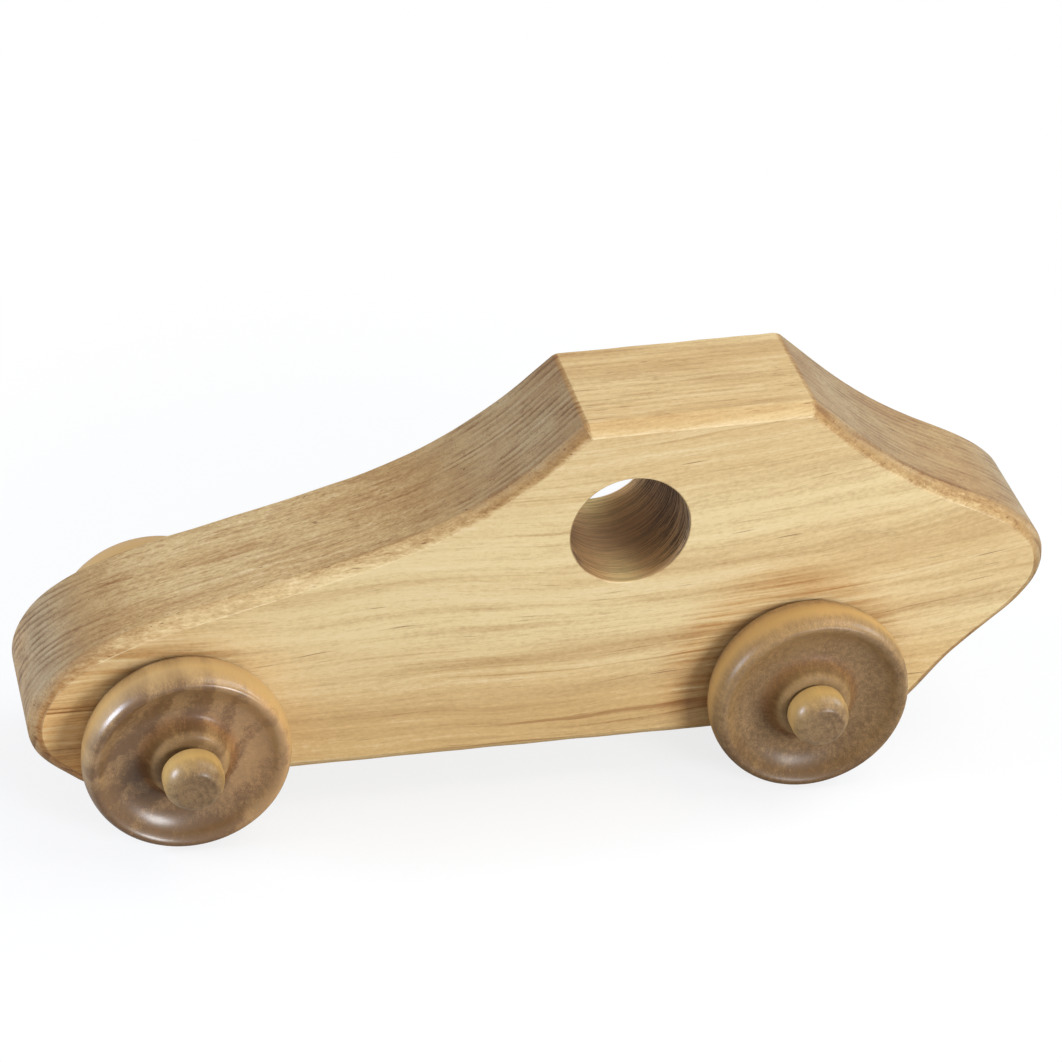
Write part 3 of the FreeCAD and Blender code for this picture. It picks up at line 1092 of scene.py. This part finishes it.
# %% World
WORLD_LEVEL = 0.28
GLOSS_SHARE = 0.5
studio = Finish(bpy.data.worlds.new("studio"), "OutputWorld")
camera_ray = studio.node("LightPath", result="Is Camera Ray")
glossy_ray = studio.node("LightPath", result="Is Glossy Ray")
soft = studio.node("Background", None, {
    "Color": colour(1.0, 0.985, 0.96), "Strength": WORLD_LEVEL,
})
white = studio.node("Background", None, {"Color": colour(1, 1, 1), "Strength": 1.0})
sees_white = camera_ray.math("MAXIMUM", glossy_ray * GLOSS_SHARE)
bpy.context.scene.world = studio.output(
    studio.node("MixShader", None, {0: sees_white, 1: soft, 2: white})
)
print("world level:", WORLD_LEVEL, "share of white in gloss:", GLOSS_SHARE)

# %% Lamps
LAMP_TARGET = Vector((0, 0, 0.05))


def lamp(name, place, size, power, tint):
    """A soft square lamp that faces the car."""
    data = bpy.data.lights.new(name, "AREA")
    data.size = size
    data.energy = power
    data.color = tint
    made = bpy.data.objects.new(name, data)
    bpy.context.collection.objects.link(made)
    place = Vector(place)
    facing = (LAMP_TARGET - place).to_track_quat("-Z", "Y").to_matrix().to_4x4()
    made.matrix_world = Matrix.Translation(place) @ facing


lamp("front_lamp", (-0.60, 1.05, 0.46), 0.42, 11.2, (0.97, 0.985, 1.0))
lamp("top_lamp", (-0.60, 0.0, 1.12), 0.75, 5.2, (1.0, 0.94, 0.84))
lamp("nose_lamp", (1.05, -0.05, 0.40), 0.36, 10.6, (0.70, 0.80, 1.0))
lamp("rear_lamp", (-1.15, -0.25, 0.62), 0.60, 8.8, (0.71, 0.86, 1.0))
print("lamps:", len(bpy.data.lights))

# %% [markdown]
# ## Floor
#
# The floor is treated like the backdrop. It is white paper that keeps a faint shadow close to
# the car and fades to plain white farther off. It is darker for light that bounces, so that the
# wheels don't glow from below.

# %% Floor
FLOOR_SIZE = 8.0
SHADOW_REACH = (0.12, 0.26)
GLOW_AT_CAR = 0.80
bpy.ops.mesh.primitive_plane_add(size=FLOOR_SIZE)
floor = bpy.context.object
floor.name = "floor"
paper = Finish(bpy.data.materials.new("white_paper"))
plain = paper.node("BsdfDiffuse", None, {"Color": colour(0.92, 0.93, 0.95)})
dim = paper.node("BsdfDiffuse", None, {"Color": colour(0.45, 0.44, 0.43)})
glow = paper.node("Emission", None, {"Color": colour(1, 1, 1), "Strength": 1.0})
camera_ray = paper.node("LightPath", result="Is Camera Ray")
spot = paper.node("TexCoord", result="Object")
reach = paper.node("VectorMath", {"operation": "LENGTH"}, {0: spot}, result="Value")
far = GLOW_AT_CAR + reach.rise(*SHADOW_REACH) * (1 - GLOW_AT_CAR)
seen = paper.node("MixShader", None, {0: far, 1: plain, 2: glow})
floor_paper = paper.output(paper.node("MixShader", None, {0: camera_ray, 1: dim, 2: seen}))
floor.data.materials.append(floor_paper)
print("floor:", FLOOR_SIZE, "m square")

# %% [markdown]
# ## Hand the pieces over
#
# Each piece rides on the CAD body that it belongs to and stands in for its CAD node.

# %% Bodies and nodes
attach(block, "block_and_pegs")
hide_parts("body")
for name, piece in placed.items():
    kind, corner = name.rsplit("_", 2)[0], "_".join(name.rsplit("_", 2)[1:])
    if kind == "wheel":
        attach(piece, corner + "_wheel")
    else:
        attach(piece, "block_and_pegs")
    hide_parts(name)
print("pieces handed over:", len(placed) + 1)
